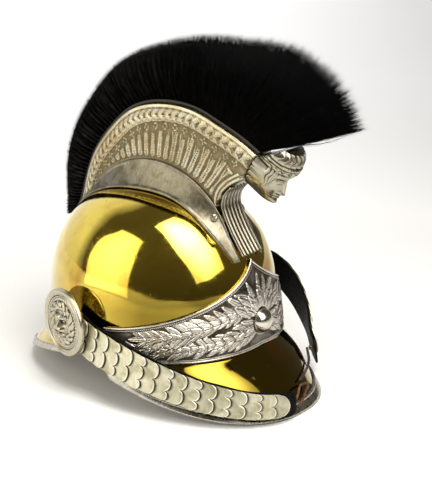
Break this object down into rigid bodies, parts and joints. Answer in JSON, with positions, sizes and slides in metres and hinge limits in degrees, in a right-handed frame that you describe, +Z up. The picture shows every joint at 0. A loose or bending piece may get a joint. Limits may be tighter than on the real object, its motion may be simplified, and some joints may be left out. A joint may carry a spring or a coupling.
{
  "type": "gendarmerie helmet",
  "caption": "Dress helmet with a brass skull, peak and neck guard, a stamped white-metal crest with a black horsehair brush, and a scaled chin strap.",
  "frame": {"origin": "middle of the head opening, level with the peak's and the neck guard's lowest edges", "axes": "+Z up through the crown, -Y to the front of the helmet, -X to the wearer's right"},
  "size_m": [0.2352, 0.3772, 0.3431],
  "materials": {
    "brass": "polished",
    "brass_fitting": "tarnished",
    "white_metal": "satin",
    "nickel": "tarnished satin",
    "scale_metal": "satin",
    "black_leather": "satin",
    "brown_leather": "matte",
    "wood": "painted black",
    "horsehair": "hair"
  },
  "bodies": {
    "root": {"band_screw_left": "nickel", "band_screw_right": "nickel", "brush": "horsehair", "brush_base": "wood", "chin_strap_left": "black_leather", "chin_strap_right": "black_leather", "comb": "nickel", "comb_band_left": "nickel", "comb_band_right": "nickel", "comb_neck": "nickel", "front_plate": "white_metal", "grenade_ball": "white_metal", "mask": "nickel", "neck_guard": "brass", "neck_guard_binding": "white_metal", "peak": "brass", "peak_binding": "white_metal", "rear_stud_left": "brass_fitting", "rear_stud_right": "brass_fitting", "rosette_left": "nickel", "rosette_post_left": "brass_fitting", "rosette_post_right": "brass_fitting", "rosette_right": "nickel", "scale_left_01": "scale_metal", "scale_left_02": "scale_metal", "scale_left_03": "scale_metal", "scale_left_04": "scale_metal", "scale_left_05": "scale_metal", "scale_left_06": "scale_metal", "scale_left_07": "scale_metal", "scale_left_08": "scale_metal", "scale_left_09": "scale_metal", "scale_left_10": "scale_metal", "scale_left_11": "scale_metal", "scale_left_12": "scale_metal", "scale_right_01": "scale_metal", "scale_right_02": "scale_metal", "scale_right_03": "scale_metal", "scale_right_04": "scale_metal", "scale_right_05": "scale_metal", "scale_right_06": "scale_metal", "scale_right_07": "scale_metal", "scale_right_08": "scale_metal", "scale_right_09": "scale_metal", "scale_right_10": "scale_metal", "scale_right_11": "scale_metal", "scale_right_12": "scale_metal", "scale_right_13": "scale_metal", "scale_right_14": "scale_metal", "scale_right_15": "scale_metal", "scale_right_16": "scale_metal", "skull": "brass", "tie_lace": "black_leather", "tie_loop": "brown_leather", "tie_stud": "brass_fitting"}
  },
  "joints": []
}
